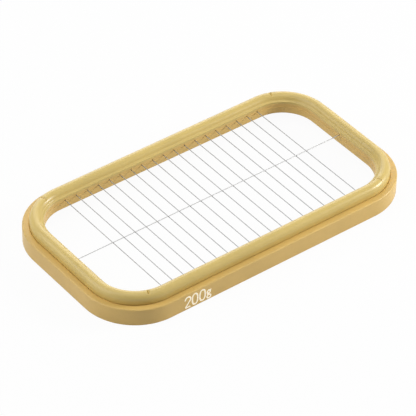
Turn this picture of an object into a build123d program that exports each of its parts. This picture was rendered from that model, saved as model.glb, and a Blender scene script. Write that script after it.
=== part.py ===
from build123d import *
import math
import os

# A wire butter slicer: a rounded rectangular frame strung with taut steel wires.
# Millimetres, +Z up.  The origin is the centre of the plane the skirt stands on,
# +X runs along the long side.  Places across the frame's band are given as an
# "inset", the distance inwards from the skirt's outer face, and a height.

# Plan of the frame
FRAME_LENGTH = 180.0
FRAME_WIDTH = 99.4
CORNER_RADIUS = 28.6

# Lower frame: skirt, ledge, wire trough, upstand and short inner wall
LEDGE_HEIGHT = 9.3
LEDGE_WIDTH = 3.5
LEDGE_WALL = 2.1
SKIRT_WALL = 2.0
SKIRT_TOP_CHAMFER = 0.5
SKIRT_FOOT_CHAMFER = 0.3
TROUGH_RIM = 0.5
TROUGH_FLOOR_WALL = 1.6
UPSTAND_WALL = 1.75
INNER_WALL = 1.8
INNER_WALL_DROP = 1.55
INNER_FOOT_CHAMFER = 0.4
STEP_WIDTH = 0.15
STEP_BELOW_WIRE = 0.7

# Cover ring: a hollow dome over the trough, with a fine lip along its inner side
DOME_RADIUS = 3.0
DOME_FLANK = 2.3
COVER_WALL = 1.6
HOLLOW_ROOF_WIDTH = 1.3
DOME_END_ANGLE = 26.0
LIP_OVERHANG = 1.0
LIP_HEIGHT = 0.55
LIP_FALL = 0.35
LIP_BEVEL = 0.3
FOOT_CHAMFER = 0.35
SEAM_CHAMFER = 0.1
TONGUE_WIDTH = 0.8
TONGUE_DEPTH = 0.9
TONGUE_CLEARANCE = 0.05

# Wires and the crimped ferrules that hold their ends
WIRE_DIAMETER = 0.4
WIRE_SIDES = 8
WIRE_PITCH = 6.5
WIRE_COUNT = 19
WIRE_ABOVE_LEDGE = 0.25
CROSSING_GAP = 0.02
WIRE_TAIL = 0.2
SLOT_FLOOR_WIDTH = 0.55
SLOT_MOUTH_WIDTH = 0.2
SLOT_SEAT_GAP = 0.02
FERRULE_DIAMETER = 1.1
FERRULE_LENGTH = 1.8
FERRULE_HEADROOM = 0.05
FERRULE_FLOOR_GAP = 1.0
CRIMP_CLEARANCE = 0.01

# Places that follow from the sizes above
half_length = FRAME_LENGTH / 2
half_width = FRAME_WIDTH / 2
straight_half_length = half_length - CORNER_RADIUS
straight_half_width = half_width - CORNER_RADIUS

wire_radius = WIRE_DIAMETER / 2
ferrule_radius = FERRULE_DIAMETER / 2
cross_wire_height = LEDGE_HEIGHT + WIRE_ABOVE_LEDGE
centre_wire_height = cross_wire_height + WIRE_DIAMETER + CROSSING_GAP
trough_floor = cross_wire_height - ferrule_radius - FERRULE_FLOOR_GAP
trough_underside = trough_floor - TROUGH_FLOOR_WALL
ledge_underside = LEDGE_HEIGHT - LEDGE_WALL
upstand_top = centre_wire_height + ferrule_radius + FERRULE_HEADROOM
step_height = cross_wire_height - STEP_BELOW_WIRE
inner_foot = trough_underside - INNER_WALL_DROP

dome_inset = LEDGE_WIDTH + DOME_RADIUS
dome_height = LEDGE_HEIGHT + DOME_FLANK
dome_top = dome_height + DOME_RADIUS
cover_face_inset = dome_inset + DOME_RADIUS + LIP_OVERHANG
wall_face_inset = cover_face_inset + STEP_WIDTH
upstand_back_inset = cover_face_inset - UPSTAND_WALL
inner_wall_back_inset = wall_face_inset - INNER_WALL
cover_leg_inset = LEDGE_WIDTH + COVER_WALL
trough_middle_inset = (cover_leg_inset + upstand_back_inset) / 2
tongue_inset = LEDGE_WIDTH + (COVER_WALL - TONGUE_WIDTH) / 2
tongue_end_inset = tongue_inset + TONGUE_WIDTH
groove_floor = LEDGE_HEIGHT - TONGUE_DEPTH - TONGUE_CLEARANCE
trough_wall_inset = cover_leg_inset + TROUGH_RIM
trough_outer_inset = trough_wall_inset - TROUGH_FLOOR_WALL


def rim_path():
    """The skirt's outer face in plan: one closed path from the middle of the front side."""
    front = Line((0, -half_width), (straight_half_length, -half_width))
    front_right = JernArc(front @ 1, front % 1, CORNER_RADIUS, 90)
    right = Line(front_right @ 1, (half_length, straight_half_width))
    back_right = JernArc(right @ 1, right % 1, CORNER_RADIUS, 90)
    back = Line(back_right @ 1, (-straight_half_length, half_width))
    back_left = JernArc(back @ 1, back % 1, CORNER_RADIUS, 90)
    left = Line(back_left @ 1, (-half_length, -straight_half_width))
    front_left = JernArc(left @ 1, left % 1, CORNER_RADIUS, 90)
    last = Line(front_left @ 1, (0, -half_width))
    return Wire([front, front_right, right, back_right, back, back_left, left, front_left, last])


def carried_round_rim(profile):
    """Carries a profile drawn as (inset, height) once round the rim."""
    start = Plane(origin=(0, -half_width, 0), x_dir=(0, 1, 0), z_dir=(1, 0, 0))
    return sweep(start * profile, path=rim_path())


def corner_near(profile, inset, height):
    """The profile's corner nearest to one (inset, height)."""
    return profile.vertices().sort_by_distance((inset, height, 0))[0]


def side_reach(x, inset):
    """Half the frame's width at x, measured to the contour that lies at an inset."""
    past_straight = max(0, abs(x) - straight_half_length)
    return straight_half_width + math.sqrt((CORNER_RADIUS - inset) ** 2 - past_straight**2)


def ferrule_seat(x):
    """Where a ferrule at x bears on the back of the upstand, as a distance from the X axis."""
    return side_reach(max(0, abs(x) - ferrule_radius), upstand_back_inset)


def along_y(shape, x, y, z):
    """Turns a shape made along Z to lie along Y, with its top end outwards at -Y."""
    return Pos(x, y, z) * Rot(90, 0, 0) * shape


def along_x(shape, x, y, z):
    """Turns a shape made along Z to lie along X, with its top end outwards at +X."""
    return Pos(x, y, z) * Rot(0, 90, 0) * shape


def base_profile():
    """Section of the lower frame, from the skirt's foot over the trough to the inner wall."""
    groove_start = tongue_inset - TONGUE_CLEARANCE
    groove_end = tongue_end_inset + TONGUE_CLEARANCE
    outline = Polyline(
        (0, 0),
        (0, LEDGE_HEIGHT),
        (groove_start, LEDGE_HEIGHT),
        (groove_start, groove_floor),
        (groove_end, groove_floor),
        (groove_end, LEDGE_HEIGHT),
        (trough_wall_inset, LEDGE_HEIGHT),
        (trough_wall_inset, trough_floor),
        (upstand_back_inset, trough_floor),
        (upstand_back_inset, upstand_top),
        (cover_face_inset, upstand_top),
        (cover_face_inset, step_height),
        (wall_face_inset, step_height),
        (wall_face_inset, inner_foot),
        (inner_wall_back_inset, inner_foot),
        (inner_wall_back_inset, trough_underside),
        (trough_outer_inset, trough_underside),
        (trough_outer_inset, ledge_underside),
        (SKIRT_WALL, ledge_underside),
        (SKIRT_WALL, 0),
        close=True,
    )
    profile = make_face(outline)
    profile = chamfer(corner_near(profile, 0, LEDGE_HEIGHT), SKIRT_TOP_CHAMFER)
    profile = chamfer(corner_near(profile, 0, 0), SKIRT_FOOT_CHAMFER)
    profile = chamfer(corner_near(profile, SKIRT_WALL, 0), SKIRT_FOOT_CHAMFER)
    return chamfer(corner_near(profile, wall_face_inset, inner_foot), INNER_FOOT_CHAMFER)


def cover_profile():
    """Section of the cover ring: tongue, leg, dome, fine lip and seam, round a hollow.
    The dome's inner side runs straight on along its tangent, down to the lip."""
    end_angle = math.radians(DOME_END_ANGLE)
    dome_end_inset = dome_inset + DOME_RADIUS * math.cos(end_angle)
    dome_end_height = dome_height + DOME_RADIUS * math.sin(end_angle)
    lip_top = dome_height + LIP_HEIGHT
    lip_edge = lip_top - LIP_FALL
    lip_start_inset = dome_end_inset + (dome_end_height - lip_top) * math.tan(end_angle)
    hollow_reach = DOME_RADIUS - COVER_WALL
    hollow_roof = dome_height + math.sqrt(hollow_reach**2 - (HOLLOW_ROOF_WIDTH / 2) ** 2)
    dome = ThreePointArc(
        (LEDGE_WIDTH, dome_height),
        (dome_inset, dome_top),
        (dome_end_inset, dome_end_height),
    )
    inside = Polyline(
        (dome_end_inset, dome_end_height),
        (lip_start_inset, lip_top),
        (cover_face_inset - LIP_BEVEL, lip_edge),
        (cover_face_inset, lip_edge - LIP_BEVEL),
        (cover_face_inset, upstand_top + SEAM_CHAMFER),
        (cover_face_inset - SEAM_CHAMFER, upstand_top),
        (upstand_back_inset, upstand_top),
        (dome_inset + hollow_reach, dome_height),
        (dome_inset + HOLLOW_ROOF_WIDTH / 2, hollow_roof),
        (dome_inset - HOLLOW_ROOF_WIDTH / 2, hollow_roof),
        (cover_leg_inset, dome_height),
        (cover_leg_inset, LEDGE_HEIGHT),
        (tongue_end_inset, LEDGE_HEIGHT),
        (tongue_end_inset, LEDGE_HEIGHT - TONGUE_DEPTH),
        (tongue_inset, LEDGE_HEIGHT - TONGUE_DEPTH),
        (tongue_inset, LEDGE_HEIGHT),
        (LEDGE_WIDTH + FOOT_CHAMFER, LEDGE_HEIGHT),
        (LEDGE_WIDTH, LEDGE_HEIGHT + FOOT_CHAMFER),
        (LEDGE_WIDTH, dome_height),
    )
    return make_face([dome, inside])


def cross_wire_places():
    """X of each cross wire, spread evenly about the middle."""
    return [(i - (WIRE_COUNT - 1) / 2) * WIRE_PITCH for i in range(WIRE_COUNT)]


def slot_cutter(wire_height, half_reach):
    """A wedge lying along Y that seats a wire on its floor and is pinched in at the upstand's top."""
    floor = wire_height - wire_radius - SLOT_SEAT_GAP
    section = Polyline(
        (-SLOT_FLOOR_WIDTH / 2, floor),
        (SLOT_FLOOR_WIDTH / 2, floor),
        (SLOT_MOUTH_WIDTH / 2, upstand_top),
        (-SLOT_MOUTH_WIDTH / 2, upstand_top),
        close=True,
    )
    return extrude(Plane.XZ * make_face(section), half_reach, both=True)


def wire_slots():
    """One cutter for each wire, right across the opening, so both its slots line up."""
    cutters = []
    for x in cross_wire_places():
        cutters.append(Pos(x, 0, 0) * slot_cutter(cross_wire_height, side_reach(x, trough_middle_inset)))
    lengthwise = slot_cutter(centre_wire_height, half_length - trough_middle_inset)
    return cutters + [Rot(0, 0, 90) * lengthwise]


def base_frame():
    """Lower moulding: skirt, ledge, trough and the slotted upstand."""
    return carried_round_rim(base_profile()) - wire_slots()


def cover_ring():
    """Upper moulding: the domed ring that closes the trough over the wire ends."""
    return carried_round_rim(cover_profile())


def wire(length):
    """A straight wire with flat sides, standing at the middle of its length."""
    return extrude(RegularPolygon(wire_radius, WIRE_SIDES), length / 2, both=True)


def cross_wire(x):
    """One wire across the frame, tail to tail."""
    half = ferrule_seat(x) + FERRULE_LENGTH + WIRE_TAIL
    return along_y(wire(2 * half), x, 0, cross_wire_height)


def centre_wire():
    """The wire along the frame, which passes just over the cross wires."""
    half = half_length - upstand_back_inset + FERRULE_LENGTH + WIRE_TAIL
    return along_x(wire(2 * half), 0, 0, centre_wire_height)


def ferrule():
    """A hexagonal crimped sleeve, standing on its seat at the origin."""
    grip = wire_radius + CRIMP_CLEARANCE
    section = RegularPolygon(ferrule_radius, 6) - RegularPolygon(grip, 6, major_radius=False)
    return extrude(section, FERRULE_LENGTH)


def front_ferrules():
    """The sleeves along the front trough, one for each cross wire."""
    sleeve = ferrule()
    return [along_y(sleeve, x, -ferrule_seat(x), cross_wire_height) for x in cross_wire_places()]


def end_ferrules():
    """The sleeves at the two ends of the centre wire."""
    sleeve = along_x(ferrule(), half_length - upstand_back_inset, 0, centre_wire_height)
    return [sleeve, mirror(sleeve, Plane.YZ)]


def save(node, solids):
    """Writes one node: a single solid or a group of like ones."""
    shape = Compound(children=solids) if isinstance(solids, list) else solids
    shape.label = node
    export_step(shape, f"parts/{node}.step")


os.makedirs("parts", exist_ok=True)
save("base_frame", base_frame())
save("cover_ring", cover_ring())
for number, place in enumerate(cross_wire_places(), start=1):
    save(f"cross_wire_{number:02d}", cross_wire(place))
save("centre_wire", centre_wire())
front_sleeves = front_ferrules()
save("front_ferrules", front_sleeves)
save("back_ferrules", [mirror(sleeve, Plane.XZ) for sleeve in front_sleeves])
save("end_ferrules", end_ferrules())
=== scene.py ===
"""A wire butter slicer: a two-piece moulded frame strung with drawn steel cutting wires.

Sizes are in millimetres and become metres when a mesh is made.  A place across the frame's band is an
"inset", the distance inwards from the skirt's outer face, and a height above the foot of the skirt.
"""

import math

import bmesh
import bpy
import numpy as np
from mathutils import Matrix, Vector


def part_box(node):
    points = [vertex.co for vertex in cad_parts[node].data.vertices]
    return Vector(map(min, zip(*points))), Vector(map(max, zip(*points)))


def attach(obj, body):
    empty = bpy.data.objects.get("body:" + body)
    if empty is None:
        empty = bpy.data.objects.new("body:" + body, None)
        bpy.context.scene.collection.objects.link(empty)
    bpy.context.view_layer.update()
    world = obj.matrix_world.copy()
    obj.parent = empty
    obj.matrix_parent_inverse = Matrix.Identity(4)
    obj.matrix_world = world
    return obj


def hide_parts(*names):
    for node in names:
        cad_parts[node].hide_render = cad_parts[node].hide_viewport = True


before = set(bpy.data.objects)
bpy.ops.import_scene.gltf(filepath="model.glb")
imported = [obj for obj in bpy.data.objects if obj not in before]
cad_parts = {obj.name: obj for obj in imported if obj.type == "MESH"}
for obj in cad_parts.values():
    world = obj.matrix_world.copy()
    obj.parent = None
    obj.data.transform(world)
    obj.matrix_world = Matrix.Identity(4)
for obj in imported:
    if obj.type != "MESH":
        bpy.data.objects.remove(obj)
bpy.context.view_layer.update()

bl_info = {
    "name": "Wire Butter Slicer",
    "version": (1, 0, 0),
    "blender": (4, 5, 0),
    "location": "3D View > Sidebar > Slicer",
    "description": "Dresses the solid frame of a wire butter slicer",
    "category": "Object",
}

MM = 0.001


def node_box(node):
    """Lowest and highest corner of a solid, in millimetres."""
    low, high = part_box(node)
    return np.array(low) / MM, np.array(high) / MM


CROSS_WIRES = sorted(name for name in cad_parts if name.startswith("cross_wire_"))
base_low, base_high = node_box("base_frame")
cover_low, cover_high = node_box("cover_ring")
HALF_LENGTH = float(base_high[0])
HALF_WIDTH = float(base_high[1])
UPSTAND_TOP = float(base_high[2])
LEDGE_WIDTH = float(HALF_LENGTH - cover_high[0])
COVER_TOP = float(cover_high[2])


# ------------------------------------------------------------ sizes and colours that a user would change

class FrameSettings(bpy.types.PropertyGroup):
    """Shape and colour of the two mouldings."""

    corner_radius: bpy.props.FloatProperty(
        name="Corner radius", description="Radius of the skirt's corners in plan, in mm",
        default=28.6, min=12.0, max=45.0)
    ledge_height: bpy.props.FloatProperty(
        name="Ledge height", description="Height of the ledge outside the bead, in mm",
        default=9.3, min=6.0, max=12.0)
    skirt_round: bpy.props.FloatProperty(
        name="Skirt edge round", description="Radius along the skirt's top edge, in mm",
        default=0.7, min=0.1, max=1.2)
    bead_radius: bpy.props.FloatProperty(
        name="Bead radius", description="Radius of the domed bead, in mm",
        default=3.0, min=2.0, max=4.0)
    lip_radius: bpy.props.FloatProperty(
        name="Lip radius", description="Radius of the fine lip along the bead's inner side, in mm",
        default=0.5, min=0.1, max=0.6)
    nick_depth: bpy.props.FloatProperty(
        name="Nick depth", description="Depth of the four nicks across the bead's crest, in mm",
        default=0.8, min=0.0, max=0.8)
    frame_colour: bpy.props.FloatVectorProperty(
        name="Frame colour", description="Butter yellow of the lower frame",
        subtype="COLOR", size=3, default=(0.740, 0.498, 0.150), min=0.0, max=1.0)
    bead_colour: bpy.props.FloatVectorProperty(
        name="Bead colour", description="Butter yellow of the bead",
        subtype="COLOR", size=3, default=(0.695, 0.518, 0.162), min=0.0, max=1.0)


class WireSettings(bpy.types.PropertyGroup):
    """Finish of the wires and shape of their sleeves."""

    wire_colour: bpy.props.FloatVectorProperty(
        name="Wire colour", description="Drawn stainless steel",
        subtype="COLOR", size=3, default=(0.27, 0.27, 0.27), min=0.0, max=1.0)
    sleeve_colour: bpy.props.FloatVectorProperty(
        name="Sleeve colour", description="Steel of the crimped sleeves",
        subtype="COLOR", size=3, default=(0.50, 0.49, 0.47), min=0.0, max=1.0)
    crimp_depth: bpy.props.FloatProperty(
        name="Crimp depth", description="How far the crimps press into a sleeve, in mm",
        default=0.08, min=0.0, max=0.2)


class MarkSettings(bpy.types.PropertyGroup):
    """The plain weight figure printed on the front of the skirt."""

    stroke_width: bpy.props.FloatProperty(
        name="Stroke width", description="Width of the printed strokes, in mm",
        default=0.78, min=0.2, max=1.2)
    ink_colour: bpy.props.FloatVectorProperty(
        name="Ink colour", description="White pad-printing ink",
        subtype="COLOR", size=3, default=(1.0, 0.90, 0.70), min=0.0, max=1.0)


class StageSettings(bpy.types.PropertyGroup):
    """Light, floor and camera."""

    sky_level: bpy.props.FloatProperty(
        name="Sky level", description="Strength of the even light from all round",
        default=0.05, min=0.0, max=2.0)
    right_power: bpy.props.FloatProperty(
        name="Right power", description="Power of the softbox to the right of the camera's view",
        subtype="POWER", default=5.8, min=0.0, max=100.0)
    left_power: bpy.props.FloatProperty(
        name="Left power", description="Power of the softbox to the left of the camera's view",
        subtype="POWER", default=4.55, min=0.0, max=100.0)
    back_power: bpy.props.FloatProperty(
        name="Back power", description="Power of the softbox behind the frame",
        subtype="POWER", default=3.4, min=0.0, max=100.0)
    top_power: bpy.props.FloatProperty(
        name="Top power", description="Power of the softbox overhead",
        subtype="POWER", default=2.2, min=0.0, max=100.0)
    azimuth: bpy.props.FloatProperty(
        name="Azimuth", description="Heading of the camera's view, turned from +Y towards +X",
        subtype="ANGLE", default=math.radians(38.3216))
    elevation: bpy.props.FloatProperty(
        name="Elevation", description="How steeply the camera looks down",
        subtype="ANGLE", default=math.radians(39.7211))
    roll: bpy.props.FloatProperty(
        name="Roll", description="Turn of the camera about its own axis",
        subtype="ANGLE", default=math.radians(1.2804))
    distance: bpy.props.FloatProperty(
        name="Distance", description="From the camera to the middle of the wires, in mm",
        default=1316.2, min=300.0, max=4000.0)
    focal_length: bpy.props.FloatProperty(
        name="Focal length", description="Focal length on a 36 mm wide sensor",
        subtype="DISTANCE_CAMERA", default=237.2, min=20.0, max=500.0)


SETTINGS = {
    "slicer_frame": FrameSettings,
    "slicer_wires": WireSettings,
    "slicer_mark": MarkSettings,
    "slicer_stage": StageSettings,
}


# ------------------------------------------------------------ shader maths

class Value:
    """A node's output, wrapped so that a pattern is written as sums and products."""

    def __init__(self, nodes, socket):
        self.nodes = nodes
        self.socket = socket

    def _math(self, operation, first, second):
        return self.nodes.add("ShaderNodeMath", {"operation": operation}, {0: first, 1: second})

    def __add__(self, other):
        return self._math("ADD", self, other)

    def __radd__(self, other):
        return self._math("ADD", other, self)

    def __sub__(self, other):
        return self._math("SUBTRACT", self, other)

    def __rsub__(self, other):
        return self._math("SUBTRACT", other, self)

    def __mul__(self, other):
        return self._math("MULTIPLY", self, other)

    def __rmul__(self, other):
        return self._math("MULTIPLY", other, self)

    def larger(self, other):
        """The larger of two values."""
        return self._math("MAXIMUM", self, other)

    def step(self, low, high):
        """A smooth step from 0 at low to 1 at high."""
        inputs = {"Value": self, "From Min": low, "From Max": high}
        return self.nodes.add("ShaderNodeMapRange", {"interpolation_type": "SMOOTHSTEP"}, inputs)


class Nodes:
    """Adds nodes to the tree of a material or of the world."""

    def __init__(self, owner):
        owner.use_nodes = True
        self.tree = owner.node_tree
        self.tree.nodes.clear()

    def add(self, kind, options=None, inputs=None, output=0):
        """Makes any node from its type, settings and socket values or links, and returns one output."""
        node = self.tree.nodes.new(kind)
        for name, setting in (options or {}).items():
            setattr(node, name, setting)
        for name, value in (inputs or {}).items():
            self._feed(node.inputs[name], value)
        return Value(self, node.outputs[output]) if node.outputs else None

    def _feed(self, socket, value):
        if isinstance(value, Value):
            self.tree.links.new(value.socket, socket)
        elif socket.type == "RGBA":
            socket.default_value = (*value, 1.0)
        else:
            socket.default_value = value

    def place(self, stretch=(1.0, 1.0, 1.0)):
        """Object coordinates in metres, multiplied by a stretch on each axis."""
        return self.add("ShaderNodeMapping", None, {"Vector": self.coordinates(), "Scale": stretch})

    def coordinates(self):
        """The piece's own object coordinates."""
        return self.add("ShaderNodeTexCoord", output="Object")

    def noise(self, vector, scale, detail=2.0):
        """Fractal noise from 0 to 1, with so many blobs to the metre."""
        return self.add("ShaderNodeTexNoise", None, {"Vector": vector, "Scale": scale, "Detail": detail})

    def tint(self, factor, first, second):
        """Mixes two colours by a factor."""
        return self.add("ShaderNodeMix", {"data_type": "RGBA"}, {0: factor, 6: first, 7: second}, 2)

    def bump(self, height, depth):
        """A normal shaken by a height from 0 to 1 that stands for a depth in metres."""
        return self.add("ShaderNodeBump", None, {"Height": height, "Distance": depth})

    def show(self, shader, target="ShaderNodeOutputMaterial"):
        """Plugs the last shader into the tree's output."""
        self.add(target, None, {"Surface": shader})


def shade(colour, factor):
    """A colour made darker or lighter by a factor."""
    return tuple(factor * channel for channel in colour)


# Grain depths are in metres, as a bump takes them.
FRAME_ROUGHNESS = 0.33
FRAME_GRAIN = 0.000005
BEAD_ROUGHNESS = 0.25
BEAD_GRAIN = 0.0000012
WIRE_ROUGHNESS = 0.38
SLEEVE_ROUGHNESS = 0.3
# Painted light: the centre wire's steel colour is made lighter than the cross wires' to stand for the
# brighter light it catches along its length.
CENTRE_WIRE_PAINTED_LIGHT = 1.45


def moulded_plastic(name, colour, gloss_roughness, grain_depth):
    """Moulded plastic: clouded colour, specks, worn patches of gloss and a spark-eroded grain."""
    material = bpy.data.materials.new(name)
    nodes = Nodes(material)
    place = nodes.place()
    clouds = nodes.noise(place, 45.0, 3.0)
    specks = nodes.noise(place, 1600.0, 1.0)
    streaks = nodes.noise(place, 260.0, 2.0)
    grain = nodes.noise(place, 3200.0, 2.0)
    colours = nodes.tint(clouds.step(0.3, 0.7), shade(colour, 0.955), shade(colour, 1.035))
    colours = nodes.tint(specks.step(0.62, 0.75) * 0.35, colours, shade(colour, 0.86))
    roughness = gloss_roughness + 0.10 * streaks + 0.05 * specks
    normal = nodes.bump(0.7 * grain + 0.3 * streaks, grain_depth)
    nodes.show(nodes.add("ShaderNodeBsdfPrincipled", None, {
        "Base Color": colours, "Roughness": roughness, "Normal": normal, "IOR": 1.5,
    }))
    return material


def drawn_steel(name, colour, stretch, base_roughness):
    """Steel with fine lines along the way it was drawn, and faint handling stains."""
    material = bpy.data.materials.new(name)
    nodes = Nodes(material)
    lines = nodes.noise(nodes.place(stretch), 5000.0, 1.0)
    stains = nodes.noise(nodes.place(), 120.0, 3.0)
    colours = nodes.tint(lines, shade(colour, 0.9), shade(colour, 1.1))
    colours = nodes.tint(0.25 * stains.step(0.5, 0.75), colours, shade(colour, 0.7))
    roughness = base_roughness + 0.08 * lines
    nodes.show(nodes.add("ShaderNodeBsdfPrincipled", None, {
        "Base Color": colours, "Metallic": 1.0, "Roughness": roughness,
        "Normal": nodes.bump(lines, 0.000001),
    }))
    return material


def printing_ink(name, colour):
    """Pad-printed ink: nearly even, thinner in specks, with the satin of a dried film, and a painted glow of
    its own colour that makes it brighter than the lamps alone light it.
    """
    material = bpy.data.materials.new(name)
    nodes = Nodes(material)
    specks = nodes.noise(nodes.place(), 2600.0, 2.0)
    colours = nodes.tint(specks.step(0.45, 0.8) * 0.3, colour, shade(colour, 0.86))
    nodes.show(nodes.add("ShaderNodeBsdfPrincipled", None, {
        "Base Color": colours, "Roughness": 0.42 + 0.15 * specks,
        "Normal": nodes.bump(specks, 0.000006),
        # Painted glow: the ink gives off light of its own colour, which stands in for light it does not get
        # from the lamps.
        "Emission Color": colours, "Emission Strength": 0.25,
    }))
    return material


# ------------------------------------------------------------ mesh making

def grid_faces(rows, columns, wrap_rows, wrap_columns):
    """Quads of a grid of points numbered row by row; a wrapped direction joins its last line to its first."""
    row = np.arange(rows if wrap_rows else rows - 1)[:, None]
    column = np.arange(columns if wrap_columns else columns - 1)[None, :]
    next_row = (row + 1) % rows
    next_column = (column + 1) % columns
    corners = (row * columns + column, next_row * columns + column,
               next_row * columns + next_column, row * columns + next_column)
    return np.stack(corners, axis=-1).reshape(-1, 4).tolist()


def grid_part(grid, wrap_rows=True, wrap_columns=True):
    """Points and faces of a grid; rows that don't wrap are closed by a flat end across each last row."""
    rows, columns = grid.shape[:2]
    faces = grid_faces(rows, columns, wrap_rows, wrap_columns)
    if not wrap_rows:
        faces.append(list(range(columns)))
        faces.append(list(range((rows - 1) * columns, rows * columns)))
    return grid.reshape(-1, 3), faces


def mesh_of(name, parts):
    """One mesh in metres from the points and faces of closed parts, with every face turned outwards."""
    points = []
    faces = []
    count = 0
    for part_points, part_faces in parts:
        points.append(part_points)
        faces += [[index + count for index in face] for face in part_faces]
        count += len(part_points)
    mesh = bpy.data.meshes.new(name)
    mesh.from_pydata((np.concatenate(points) * MM).tolist(), [], faces)
    turned = bmesh.new()
    turned.from_mesh(mesh)
    bmesh.ops.recalc_face_normals(turned, faces=turned.faces)
    turned.to_mesh(mesh)
    turned.free()
    return mesh


SHARP_ANGLE = math.radians(35.0)


def add_piece(mesh, material, replaced):
    """Puts a finished mesh in the scene as a piece that rides on the body and stands for its solids."""
    mesh.shade_smooth()
    mesh.set_sharp_from_angle(angle=SHARP_ANGLE)
    mesh.materials.append(material)
    piece = bpy.data.objects.new(mesh.name, mesh)
    bpy.context.scene.collection.objects.link(piece)
    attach(piece, "root")
    if replaced:
        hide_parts(*replaced)
    return piece


def arc(centre, radius, start, end, steps):
    """Points of a circle's arc from one angle to another, in degrees."""
    angles = np.radians(np.linspace(start, end, steps + 1))
    return np.array(centre) + radius * np.stack((np.cos(angles), np.sin(angles)), axis=-1)


def rounded_corner(before, corner, after, radius, steps=7):
    """Points of the arc that touches both sides of a corner: its centre lies on the corner's bisector."""
    corner = np.array(corner, float)
    if radius == 0:
        return corner[None, :]
    back = (before - corner) / np.linalg.norm(before - corner)
    onward = (after - corner) / np.linalg.norm(after - corner)
    half_angle = math.acos(float(np.clip(back @ onward, -1, 1))) / 2
    bisector = (back + onward) / np.linalg.norm(back + onward)
    centre = corner + bisector * radius / math.sin(half_angle)
    start = corner + back * radius / math.tan(half_angle) - centre
    end = corner + onward * radius / math.tan(half_angle) - centre
    turn = math.atan2(start[0] * end[1] - start[1] * end[0], float(start @ end))
    angles = math.atan2(start[1], start[0]) + turn * np.linspace(0, 1, steps + 1)
    return centre + radius * np.stack((np.cos(angles), np.sin(angles)), axis=-1)


def rounded_outline(corners):
    """A closed outline from (inset, height, radius) corners, each rounded by its own radius."""
    places = np.array([corner[:2] for corner in corners], float)
    before = np.roll(places, 1, axis=0)
    after = np.roll(places, -1, axis=0)
    arcs = [rounded_corner(before[i], places[i], after[i], corners[i][2]) for i in range(len(corners))]
    return np.concatenate(arcs)


BRACE_HOLD = 0.06


def braced(outline):
    """Adds a point close to each end of every long side, so that smooth shading stays flat between them."""
    after = np.roll(outline, -1, axis=0)
    side = after - outline
    length = np.linalg.norm(side, axis=1, keepdims=True)
    unit = side / length
    near = outline + unit * BRACE_HOLD
    far = after - unit * BRACE_HOLD
    trio = np.stack((outline, near, far), axis=1).reshape(-1, 2)
    is_long = length > 4 * BRACE_HOLD
    keep = np.stack((length > 0, is_long, is_long), axis=1).reshape(-1)
    return trio[keep]


# ------------------------------------------------------------ the path round the rim

NICK_ANGLE = 20.5
NICK_WIDTH = 1.4
NICK_INSET = 6.5
CORNER_STEP = 3.0
NICK_STEPS = 17
NICK_SPREAD = 1.6
SIDE_STEPS = 8


def rim_stations(corner_radius):
    """Stations round the rim, from the front side's left end: each is the centre that its radius springs
    from, the direction of that radius in degrees, and its angle from the nearest nick in degrees."""
    reach = np.array((HALF_LENGTH - corner_radius, HALF_WIDTH - corner_radius))
    signs = np.array(((-1, -1), (1, -1), (1, 1), (-1, 1)))
    centres = []
    angles = []
    nicks = []
    for side in range(4):
        start = signs[side] * reach
        end = signs[(side + 1) % 4] * reach
        share = np.linspace(0, 1, SIDE_STEPS, endpoint=False)[:, None]
        centres.append(start + share * (end - start))
        angles.append(np.full(SIDE_STEPS, 90.0 * side - 90.0))
        nick = NICK_ANGLE if side % 2 == 0 else 90.0 - NICK_ANGLE
        fine_turn = nick + np.linspace(-NICK_SPREAD, NICK_SPREAD, NICK_STEPS)
        turn = np.union1d(np.arange(0, 90, CORNER_STEP), fine_turn)
        centres.append(np.repeat(end[None, :], len(turn), axis=0))
        angles.append(turn + 90.0 * side - 90.0)
        nicks.append(nick + 90.0 * side - 90.0)
    angles = np.concatenate(angles)
    from_nick = np.min(np.abs(angles[:, None] - np.array(nicks)[None, :]), axis=1)
    return np.concatenate(centres), angles, from_nick


def carried_round_rim(profile, corner_radius, heights=None):
    """Carries a profile round the rim: a point is its station's centre plus the station's direction times
    the corner radius less the point's inset, at the profile's height unless heights are given."""
    centres, angles, _ = rim_stations(corner_radius)
    direction = np.radians(angles)[:, None]
    radius = corner_radius - profile[None, :, 0]
    x = centres[:, :1] + radius * np.cos(direction)
    y = centres[:, 1:] + radius * np.sin(direction)
    z = np.broadcast_to(profile[None, :, 1], x.shape) if heights is None else heights
    return np.stack((x, y, z), axis=-1)


# ------------------------------------------------------------ the lower frame

SKIRT_SETBACK = 0.03
SKIRT_WALL = 2.0
TROUGH_START = 5.6
TROUGH_FLOOR = 8.0
TROUGH_UNDERSIDE = 6.4
TROUGH_OUTSIDE = 4.0
LEDGE_UNDERSIDE = 7.2
SEAM_WIDTH = 0.32
SEAM_DEPTH = 0.22
GROOVE_START = 3.85
GROOVE_END = 4.75
GROOVE_FLOOR = 8.35
UPSTAND_BACK = 8.75
COVER_FACE = 10.5
WALL_FACE = 10.65
WALL_BACK = 8.85
WALL_FOOT = 4.85
STEP_HEIGHT = 8.85
SLOT_WIDTH = 0.44
SLIT_WIDTH = 0.06
SLOT_SEAT_GAP = 0.02
SLOT_OVERCUT = 0.2
SLOT_MARGIN = 0.5


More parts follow.
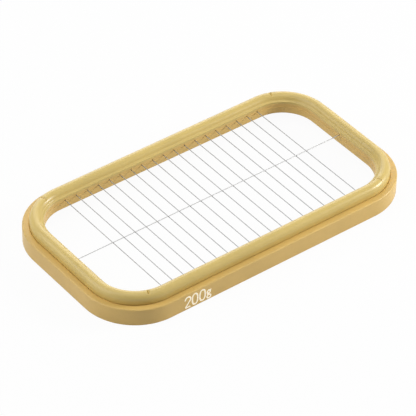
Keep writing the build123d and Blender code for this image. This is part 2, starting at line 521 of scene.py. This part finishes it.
def lower_profile(look):
    """Section of the lower frame: skirt, ledge, wire trough, upstand and inner wall.  Each corner is an
    inset, a height and the radius that rounds it."""
    ledge = look.ledge_height
    return braced(rounded_outline((
        (SKIRT_SETBACK, 0, 0.3),
        (SKIRT_SETBACK, ledge, look.skirt_round),
        (LEDGE_WIDTH - SEAM_WIDTH, ledge, 0.05),
        (LEDGE_WIDTH, ledge - SEAM_DEPTH, 0.05),
        (GROOVE_START, ledge - SEAM_DEPTH, 0.05),
        (GROOVE_START, GROOVE_FLOOR, 0),
        (GROOVE_END, GROOVE_FLOOR, 0),
        (GROOVE_END, ledge, 0.08),
        (TROUGH_START, ledge, 0.15),
        (TROUGH_START, TROUGH_FLOOR, 0.3),
        (UPSTAND_BACK, TROUGH_FLOOR, 0.3),
        (UPSTAND_BACK, UPSTAND_TOP, 0.08),
        (COVER_FACE, UPSTAND_TOP, 0.12),
        (COVER_FACE, STEP_HEIGHT, 0.03),
        (WALL_FACE, STEP_HEIGHT, 0.06),
        (WALL_FACE, WALL_FOOT, 0.5),
        (WALL_BACK, WALL_FOOT, 0.3),
        (WALL_BACK, TROUGH_UNDERSIDE, 0.3),
        (TROUGH_OUTSIDE, TROUGH_UNDERSIDE, 0.15),
        (TROUGH_OUTSIDE, LEDGE_UNDERSIDE, 0.15),
        (SKIRT_WALL, LEDGE_UNDERSIDE, 0.5),
        (SKIRT_WALL, 0, 0.3),
    )))


def slot_cutters():
    """A keyhole through the upstand for each wire end: a seat a little wider than the wire, shoulders that
    slope in at 45 degrees over it, and the slit that is left where the plastic is pinched together."""
    half_seat = SLOT_WIDTH / 2
    half_slit = SLIT_WIDTH / 2
    parts = []
    for name in CROSS_WIRES + ["centre_wire"]:
        low, high = node_box(name)
        along = 0 if name == "centre_wire" else 1
        across = (low[1 - along] + high[1 - along]) / 2
        shoulder = high[2] + SLOT_SEAT_GAP
        heights = (low[2] - SLOT_SEAT_GAP, shoulder,
                   shoulder + half_seat - half_slit, UPSTAND_TOP + SLOT_OVERCUT)
        one_side = np.stack(((half_seat, half_seat, half_slit, half_slit), heights), axis=-1)
        section = np.concatenate((one_side, one_side[::-1] * (-1, 1))) + (across, 0)
        edge = (HALF_LENGTH, HALF_WIDTH)[along]
        for sign in (-1, 1):
            depths = sign * (edge - np.array((UPSTAND_BACK - SLOT_MARGIN, WALL_FACE + SLOT_MARGIN)))
            wedge = np.empty((2, len(section), 3))
            wedge[..., along] = depths[:, None]
            wedge[..., 1 - along] = section[None, :, 0]
            wedge[..., 2] = section[None, :, 1]
            parts.append(grid_part(wedge, wrap_rows=False))
    return parts


def cut_away(piece, cutter_parts):
    """Cuts closed parts out of a piece and keeps the result in its mesh."""
    cutter = bpy.data.objects.new("cutter", mesh_of("cutter", cutter_parts))
    bpy.context.scene.collection.objects.link(cutter)
    modifier = piece.modifiers.new("slots", "BOOLEAN")
    modifier.operation = "DIFFERENCE"
    modifier.solver = "EXACT"
    modifier.object = cutter
    evaluated = piece.evaluated_get(bpy.context.evaluated_depsgraph_get())
    cut = bpy.data.meshes.new_from_object(evaluated)
    piece.modifiers.clear()
    piece.data = cut
    cut.set_sharp_from_angle(angle=SHARP_ANGLE)
    bpy.data.objects.remove(cutter)


class SLICER_OT_lower_frame(bpy.types.Operator):
    """Carries the lower frame's section round the rim and cuts a slot for each wire end"""

    bl_idname = "slicer.lower_frame"
    bl_label = "Lower Frame"

    def execute(self, context):
        look = context.scene.slicer_frame
        grid = carried_round_rim(lower_profile(look), look.corner_radius)
        material = moulded_plastic("frame_plastic", tuple(look.frame_colour), FRAME_ROUGHNESS, FRAME_GRAIN)
        mesh = mesh_of("lower_frame", [grid_part(grid)])
        piece = add_piece(mesh, material, ["base_frame"])
        cut_away(piece, slot_cutters())
        return {"FINISHED"}


# ------------------------------------------------------------ the bead

BEAD_FOOT_CHAMFER = 0.12
BEAD_SEAM_CHAMFER = 0.08
BEAD_WALL = 1.6
TONGUE_START = 3.9
TONGUE_END = 4.7
TONGUE_DEPTH = 0.9
DOME_END_ANGLE = 26.0
LIP_START = (9.57, 12.15)
LIP_FALL = 0.5
VALLEY_RADIUS = 1.2
DOME_STEPS = 40
LIP_STEPS = 12
HOLLOW_STEPS = 12


def bead_profile(look):
    """Section of the bead: a dome whose inner side runs straight on along its tangent, through a hollow
    curve, into a fine lip, all round a hollow."""
    ledge = look.ledge_height
    dome_inset = LEDGE_WIDTH + look.bead_radius
    dome_height = COVER_TOP - look.bead_radius
    dome = arc((dome_inset, dome_height), look.bead_radius, 180, DOME_END_ANGLE, DOME_STEPS)
    lip_corner = np.array((COVER_FACE, LIP_START[1] - LIP_FALL))
    below_lip = np.array((COVER_FACE, UPSTAND_TOP))
    reach = look.bead_radius - BEAD_WALL
    leg = LEDGE_WIDTH + BEAD_WALL
    outside = np.concatenate((
        ((LEDGE_WIDTH + BEAD_FOOT_CHAMFER, ledge), (LEDGE_WIDTH, ledge + BEAD_FOOT_CHAMFER)),
        dome,
        rounded_corner(dome[-1], LIP_START, lip_corner, VALLEY_RADIUS),
        rounded_corner(np.array(LIP_START), lip_corner, below_lip, look.lip_radius, LIP_STEPS),
    ))
    inside = np.concatenate((
        ((COVER_FACE, UPSTAND_TOP + BEAD_SEAM_CHAMFER), (COVER_FACE - BEAD_SEAM_CHAMFER, UPSTAND_TOP),
         (UPSTAND_BACK, UPSTAND_TOP)),
        arc((dome_inset, dome_height), reach, 0, 180, HOLLOW_STEPS),
        ((leg, ledge), (TONGUE_END, ledge), (TONGUE_END, ledge - TONGUE_DEPTH),
         (TONGUE_START, ledge - TONGUE_DEPTH), (TONGUE_START, ledge)),
    ))
    return braced(np.concatenate((outside, inside)))


class SLICER_OT_bead(bpy.types.Operator):
    """Carries the bead's section round the rim, nicked across its crest near each corner"""

    bl_idname = "slicer.bead"
    bl_label = "Bead"

    def execute(self, context):
        look = context.scene.slicer_frame
        profile = bead_profile(look)
        _, _, from_nick = rim_stations(look.corner_radius)
        away = np.radians(from_nick) * (look.corner_radius - NICK_INSET)
        cut_floor = COVER_TOP - look.nick_depth * np.clip(1 - away / (NICK_WIDTH / 2), 0, 1)
        heights = np.minimum(profile[None, :, 1], cut_floor[:, None])
        grid = carried_round_rim(profile, look.corner_radius, heights)
        material = moulded_plastic("bead_plastic", tuple(look.bead_colour), BEAD_ROUGHNESS, BEAD_GRAIN)
        add_piece(mesh_of("bead", [grid_part(grid)]), material, ["cover_ring"])
        return {"FINISHED"}


# ------------------------------------------------------------ wires and sleeves

WIRE_SIDES = 16
WIRE_TIP = 0.03
CROSSWAYS = (1.0, 0.02, 1.0)
LENGTHWISE = (0.02, 1.0, 1.0)
EVENLY = (1.0, 1.0, 1.0)
SLEEVE_SIDES = 24
SLEEVE_EDGE = 0.12
CRIMP_PLACES = (0.3, 0.7)
CRIMP_SPREAD = 0.11
CRIMP_CLEARANCE = 0.01
CRIMP_RINGS = 15


def wire_grid(low, high, axis):
    """A straight wire: circles carried along one axis, a little smaller at both cut tips."""
    radius = (high[2] - low[2]) / 2
    middle = (low + high) / 2
    turn = np.linspace(0, 2 * math.pi, WIRE_SIDES, endpoint=False)
    along = np.array((low[axis], low[axis] + WIRE_TIP, middle[axis], high[axis] - WIRE_TIP, high[axis]))
    radii = np.array((radius - WIRE_TIP, radius, radius, radius, radius - WIRE_TIP))
    grid = np.empty((len(along), WIRE_SIDES, 3))
    grid[..., axis] = along[:, None]
    grid[..., 1 - axis] = middle[1 - axis] + radii[:, None] * np.cos(turn)
    grid[..., 2] = middle[2] + radii[:, None] * np.sin(turn)
    return grid


class SLICER_OT_wires(bpy.types.Operator):
    """Strings the cross wires and the centre wire that passes over them"""

    bl_idname = "slicer.wires"
    bl_label = "Wires"

    def execute(self, context):
        colour = tuple(context.scene.slicer_wires.wire_colour)
        cross_steel = drawn_steel("cross_wire_steel", colour, CROSSWAYS, WIRE_ROUGHNESS)
        for name in CROSS_WIRES:
            grid = wire_grid(*node_box(name), axis=1)
            mesh = mesh_of(name.replace("cross", "cutting"), [grid_part(grid, wrap_rows=False)])
            add_piece(mesh, cross_steel, [name])
        # The centre wire is the same steel, painted lighter to stand for the light it catches.
        painted_lighter_colour = shade(colour, CENTRE_WIRE_PAINTED_LIGHT)
        centre_steel = drawn_steel("centre_wire_steel", painted_lighter_colour, LENGTHWISE, WIRE_ROUGHNESS)
        grid = wire_grid(*node_box("centre_wire"), axis=0)
        mesh = mesh_of("lengthwise_wire", [grid_part(grid, wrap_rows=False)])
        add_piece(mesh, centre_steel, ["centre_wire"])
        return {"FINISHED"}


def sleeve_grid(length, radius, bore, crimp_depth):
    """A sleeve standing on the origin along Z: a closed section turned once round, whose outer side is
    pressed in by two crimps, each a bell curve along the sleeve and a cosine of twice the angle round it."""
    outer_z = np.linspace(SLEEVE_EDGE, length - SLEEVE_EDGE, CRIMP_RINGS)
    heights = np.concatenate(((0, 0), outer_z, (length, length)))
    end_radius = radius - SLEEVE_EDGE
    radii = np.concatenate(((bore, end_radius), np.full(CRIMP_RINGS, radius), (end_radius, bore)))
    bells = sum(np.exp(-((heights / length - place) / CRIMP_SPREAD) ** 2) for place in CRIMP_PLACES)
    bells = np.where(radii > end_radius, bells, 0)
    turn = np.linspace(0, 2 * math.pi, SLEEVE_SIDES, endpoint=False)
    pressed = radii[:, None] - crimp_depth * bells[:, None] * (1 + np.cos(2 * turn))
    grid = np.empty((len(heights), SLEEVE_SIDES, 3))
    grid[..., 0] = pressed * np.cos(turn)
    grid[..., 1] = pressed * np.sin(turn)
    grid[..., 2] = heights[:, None]
    return grid


def laid_along(grid, axis, sign, start, across, height):
    """Lays a sleeve down: its own axis runs along X or Y from a start, away from the middle."""
    laid = np.empty_like(grid)
    laid[..., axis] = sign * (start + grid[..., 2])
    laid[..., 1 - axis] = across + grid[..., 0]
    laid[..., 2] = height + grid[..., 1]
    return laid


class SLICER_OT_sleeves(bpy.types.Operator):
    """Crimps a sleeve on every wire end behind the upstand"""

    bl_idname = "slicer.sleeves"
    bl_label = "Sleeves"

    def execute(self, context):
        look = context.scene.slicer_wires
        steel = drawn_steel("sleeve_steel", tuple(look.sleeve_colour), EVENLY, SLEEVE_ROUGHNESS)
        rows = (("front_sleeves", "front_ferrules", 1, (-1,)), ("back_sleeves", "back_ferrules", 1, (1,)),
                ("end_sleeves", "end_ferrules", 0, (-1, 1)))
        for name, node, axis, signs in rows:
            low, high = node_box(node)
            wires = ["centre_wire"] if axis == 0 else CROSS_WIRES
            boxes = [node_box(wire) for wire in wires]
            wire_radius = (boxes[0][1][2] - boxes[0][0][2]) / 2
            edge = HALF_LENGTH if axis == 0 else HALF_WIDTH
            start = edge - UPSTAND_BACK
            far = max(abs(low[axis]), abs(high[axis]))
            radius = (high[2] - low[2]) / 2
            sleeve = sleeve_grid(far - start, radius, wire_radius + CRIMP_CLEARANCE, look.crimp_depth)
            parts = []
            for sign in signs:
                for wire_low, wire_high in boxes:
                    middle = (wire_low + wire_high) / 2
                    laid = laid_along(sleeve, axis, sign, start, middle[1 - axis], middle[2])
                    parts.append(grid_part(laid))
            add_piece(mesh_of(name, parts), steel, [node])
        return {"FINISHED"}


# ------------------------------------------------------------ the weight mark

FIGURE_HEIGHT = 6.15
FIGURE_WIDTH = 3.1
FIGURE_FOOT = 1.45
FIGURE_ROUNDNESS = 2.5
FIGURE_HOOK_RISE = 1.55
FIGURE_HOOK_ENDS = (190, -28)
FIGURE_HOOK_POINTS = 30
FIGURE_FOOT_ROUND = 0.32
FIGURE_PLACES = (-52.05, -47.95, -43.6)
UNIT_PLACE = -39.85
FILM_BACK = 0.01
FILM_STEP = 0.0015
FILM_FIRST = 8
LOOP_POINTS = 72
LINE_STEP = 0.12
OPEN_END_SHARE = 0.02


def loop(centre, half_width, half_height, roundness=2.0):
    """A closed ring of points on a superellipse: cosine and sine, each raised to 2 over the roundness."""
    turn = np.linspace(0, 2 * math.pi, LOOP_POINTS, endpoint=False)
    x = np.sign(np.cos(turn)) * np.abs(np.cos(turn)) ** (2 / roundness)
    z = np.sign(np.sin(turn)) * np.abs(np.sin(turn)) ** (2 / roundness)
    return np.array(centre) + np.stack((half_width * x, half_height * z), axis=-1)


def figure_two(x):
    """The line of a 2: most of an ellipse, a slanted stem, a tight corner and a foot."""
    half = FIGURE_WIDTH / 2
    turn = np.radians(np.linspace(*FIGURE_HOOK_ENDS, FIGURE_HOOK_POINTS))
    top = FIGURE_FOOT + FIGURE_HEIGHT
    hook_heights = top - FIGURE_HOOK_RISE * (1 - np.sin(turn))
    hook = np.stack((x + half * np.cos(turn), hook_heights), axis=-1)
    corner = np.array((x - half, FIGURE_FOOT))
    foot_end = np.array((x + half, FIGURE_FOOT))
    foot_curve = rounded_corner(hook[-1], corner, foot_end, FIGURE_FOOT_ROUND)
    return np.concatenate((hook, foot_curve, foot_end[None, :]))


def unit_strokes(x):
    """The lines of a small looped g: upper bowl, lower bowl, link and ear."""
    upper = loop((x - 0.1, 4.75), 0.85, 0.92)
    lower = loop((x, 1.95), 1.1, 0.98)
    link = np.array(((x - 0.5, 4.0), (x - 0.75, 3.55), (x - 0.45, 3.1), (x + 0.1, 2.9)))
    ear = np.array(((x + 0.55, 5.35), (x + 0.95, 5.65), (x + 1.35, 5.7)))
    return [(upper, True), (lower, True), (link, False), (ear, False)]


def even_line(points, closed):
    """The same line with points spread evenly along its length."""
    line = np.concatenate((points, points[:1])) if closed else points
    gaps = np.linalg.norm(np.diff(line, axis=0), axis=1)
    travelled = np.concatenate(((0,), np.cumsum(gaps)))
    count = int(travelled[-1] / LINE_STEP)
    places = np.linspace(0, travelled[-1], count, endpoint=not closed)
    return np.stack([np.interp(places, travelled, line[:, k]) for k in range(2)], axis=-1)


def stroke_grid(points, closed, width, film):
    """A flat ribbon of ink on the skirt's face: four corners carried along a line, half the width to each
    side, which shrinks to a round at open ends as the square root of one minus the square of the way left."""
    line = even_line(points, closed)
    ahead = np.roll(line, -1, axis=0) - np.roll(line, 1, axis=0)
    half = np.full(len(line), width / 2)
    if not closed:
        ahead[0] = line[1] - line[0]
        ahead[-1] = line[-1] - line[-2]
        travelled = np.concatenate(((0,), np.cumsum(np.linalg.norm(np.diff(line, axis=0), axis=1))))
        left = np.minimum(travelled, travelled[-1] - travelled) / (width / 2)
        half = half * np.sqrt(np.clip(1 - (1 - np.clip(left, 0, 1)) ** 2, OPEN_END_SHARE, 1))
    normal = np.stack((-ahead[:, 1], ahead[:, 0]), axis=-1) / np.linalg.norm(ahead, axis=1, keepdims=True)
    one_side = line + normal * half[:, None]
    other_side = line - normal * half[:, None]
    face = -(HALF_WIDTH - SKIRT_SETBACK)
    grid = np.empty((len(line), 4, 3))
    grid[:, (0, 1), 0] = one_side[:, :1]
    grid[:, (0, 1), 2] = one_side[:, 1:]
    grid[:, (2, 3), 0] = other_side[:, :1]
    grid[:, (2, 3), 2] = other_side[:, 1:]
    grid[:, (0, 3), 1] = face + FILM_BACK
    grid[:, (1, 2), 1] = face - film
    return grid


class SLICER_OT_weight_mark(bpy.types.Operator):
    """Prints a plain weight figure on the front of the skirt as a thin film of ink"""

    bl_idname = "slicer.weight_mark"
    bl_label = "Weight Mark"

    def execute(self, context):
        look = context.scene.slicer_mark
        middle = FIGURE_FOOT + FIGURE_HEIGHT / 2
        strokes = [(figure_two(FIGURE_PLACES[0]), False)]
        for x in FIGURE_PLACES[1:]:
            strokes.append((loop((x, middle), FIGURE_WIDTH / 2, FIGURE_HEIGHT / 2, FIGURE_ROUNDNESS), True))
        strokes += unit_strokes(UNIT_PLACE)
        parts = []
        for number, (points, closed) in enumerate(strokes, start=FILM_FIRST):
            grid = stroke_grid(points, closed, look.stroke_width, number * FILM_STEP)
            parts.append(grid_part(grid, wrap_rows=closed))
        ink = printing_ink("white_ink", tuple(look.ink_colour))
        add_piece(mesh_of("weight_mark", parts), ink, [])
        return {"FINISHED"}


# ------------------------------------------------------------ the stage

FLOOR_SIZE = 3000.0
FLOOR_DROP = 0.02
FLOOR_COLOUR = (0.86, 0.86, 0.86)
SHADOW_SHARE = 0.05
# Heading and height angle in degrees, distance and size in metres.
SOFTBOXES = {
    "right": (330.0, 25.0, 0.9, 0.25),
    "left": (155.0, 38.0, 0.9, 0.8),
    "back": (60.0, 23.0, 0.9, 0.8),
    "top": (235.0, 88.0, 0.9, 0.8),
}
WIRE_PLANE = 9.55
VIEW_OFFSET = (-1.9070, -5.7066)
SENSOR_WIDTH = 36.0
# The far clip is in metres.
FAR_CLIP = 20.0


def seen_directly(nodes):
    """1 for rays from the camera or from a mirror or glass, and 0 for rays that carry light."""
    kinds = [nodes.add("ShaderNodeLightPath", output=name)
             for name in ("Is Camera Ray", "Is Glossy Ray", "Is Transmission Ray")]
    return kinds[0].larger(kinds[1]).larger(kinds[2])


def floor_material():
    """A pale floor that looks white to the eye and still keeps a soft shadow."""
    material = bpy.data.materials.new("pale_floor")
    nodes = Nodes(material)
    mottle = nodes.noise(nodes.place(), 30.0, 2.0)
    colours = nodes.tint(mottle, shade(FLOOR_COLOUR, 0.99), FLOOR_COLOUR)
    plain = nodes.add("ShaderNodeBsdfDiffuse", None, {"Color": colours})
    white = nodes.add("ShaderNodeEmission", None, {"Color": (1.0, 1.0, 1.0), "Strength": 1.0})
    factor = seen_directly(nodes) * (1 - SHADOW_SHARE)
    nodes.show(nodes.add("ShaderNodeMixShader", None, {0: factor, 1: plain, 2: white}))
    return material


def light_sky(level):
    """An even sky that lights at a level and is seen as white."""
    world = bpy.data.worlds.new("studio")
    bpy.context.scene.world = world
    nodes = Nodes(world)
    strength = level + (1 - level) * seen_directly(nodes)
    nodes.show(nodes.add("ShaderNodeBackground", None, {"Color": (1.0, 1.0, 1.0), "Strength": strength}),
               "ShaderNodeOutputWorld")


def hang_softbox(name, power):
    """A large square lamp, placed by its heading from +X, its height angle and its distance, that looks at
    the middle of the frame."""
    heading, height, distance, size = SOFTBOXES[name]
    heading = math.radians(heading)
    height = math.radians(height)
    level = math.cos(height)
    place = distance * Vector((level * math.cos(heading), level * math.sin(heading), math.sin(height)))
    lamp = bpy.data.lights.new(name, "AREA")
    lamp.energy = power
    lamp.size = size
    holder = bpy.data.objects.new(name, lamp)
    bpy.context.scene.collection.objects.link(holder)
    holder.location = place
    holder.rotation_euler = (-place).to_track_quat("-Z", "Y").to_euler()


def aim_camera(look):
    """Places the camera from its heading, its elevation, its roll and its distance."""
    back = Vector((-math.sin(look.azimuth) * math.cos(look.elevation),
                   -math.cos(look.azimuth) * math.cos(look.elevation), math.sin(look.elevation)))
    level_right = (-back).cross(Vector((0, 0, 1))).normalized()
    level_up = level_right.cross(-back)
    right = level_right * math.cos(look.roll) + level_up * math.sin(look.roll)
    up = level_up * math.cos(look.roll) - level_right * math.sin(look.roll)
    target = Vector((0, 0, WIRE_PLANE))
    place = right * VIEW_OFFSET[0] + up * VIEW_OFFSET[1] + back * look.distance + target
    lens = bpy.data.cameras.new("camera")
    lens.lens = look.focal_length
    lens.sensor_width = SENSOR_WIDTH
    lens.clip_end = FAR_CLIP
    camera = bpy.data.objects.new("camera", lens)
    bpy.context.scene.collection.objects.link(camera)
    turned = Matrix((right, up, back)).transposed().to_4x4()
    camera.matrix_world = Matrix.Translation(place * MM) @ turned
    bpy.context.scene.camera = camera


class SLICER_OT_stage(bpy.types.Operator):
    """Lays the floor, lights it and sets up the camera"""

    bl_idname = "slicer.stage"
    bl_label = "Stage"

    def execute(self, context):
        look = context.scene.slicer_stage
        half = FLOOR_SIZE / 2
        corners = [(-half, -half, -FLOOR_DROP), (half, -half, -FLOOR_DROP),
                   (half, half, -FLOOR_DROP), (-half, half, -FLOOR_DROP)]
        mesh = bpy.data.meshes.new("floor")
        mesh.from_pydata((np.array(corners) * MM).tolist(), [], [(0, 1, 2, 3)])
        mesh.materials.append(floor_material())
        floor = bpy.data.objects.new("floor", mesh)
        context.scene.collection.objects.link(floor)
        light_sky(look.sky_level)
        for name in SOFTBOXES:
            hang_softbox(name, getattr(look, name + "_power"))
        aim_camera(look)
        context.scene.view_settings.view_transform = "Standard"
        return {"FINISHED"}


# ------------------------------------------------------------ panel and registration

OPERATORS = (
    SLICER_OT_lower_frame,
    SLICER_OT_bead,
    SLICER_OT_wires,
    SLICER_OT_sleeves,
    SLICER_OT_weight_mark,
    SLICER_OT_stage,
)


class SLICER_PT_pieces(bpy.types.Panel):
    """Lists the slicer's pieces and their sizes in the 3D view's sidebar"""

    bl_idname = "SLICER_PT_pieces"
    bl_label = "Butter Slicer"
    bl_space_type = "VIEW_3D"
    bl_region_type = "UI"
    bl_category = "Slicer"

    def draw(self, context):
        for operator in OPERATORS:
            self.layout.operator(operator.bl_idname)
        for name, group in SETTINGS.items():
            box = self.layout.box()
            for key in group.__annotations__:
                box.prop(getattr(context.scene, name), key)


def register():
    for group in SETTINGS.values():
        bpy.utils.register_class(group)
    for name, group in SETTINGS.items():
        setattr(bpy.types.Scene, name, bpy.props.PointerProperty(type=group))
    for operator in OPERATORS:
        bpy.utils.register_class(operator)
    bpy.utils.register_class(SLICER_PT_pieces)


def unregister():
    bpy.utils.unregister_class(SLICER_PT_pieces)
    for operator in reversed(OPERATORS):
        bpy.utils.unregister_class(operator)
    for name, group in SETTINGS.items():
        delattr(bpy.types.Scene, name)
        bpy.utils.unregister_class(group)


def main():
    """Registers the classes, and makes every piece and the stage."""
    register()
    bpy.ops.slicer.lower_frame()
    bpy.ops.slicer.bead()
    bpy.ops.slicer.wires()
    bpy.ops.slicer.sleeves()
    bpy.ops.slicer.weight_mark()
    bpy.ops.slicer.stage()


if __name__ == "__main__":
    main()
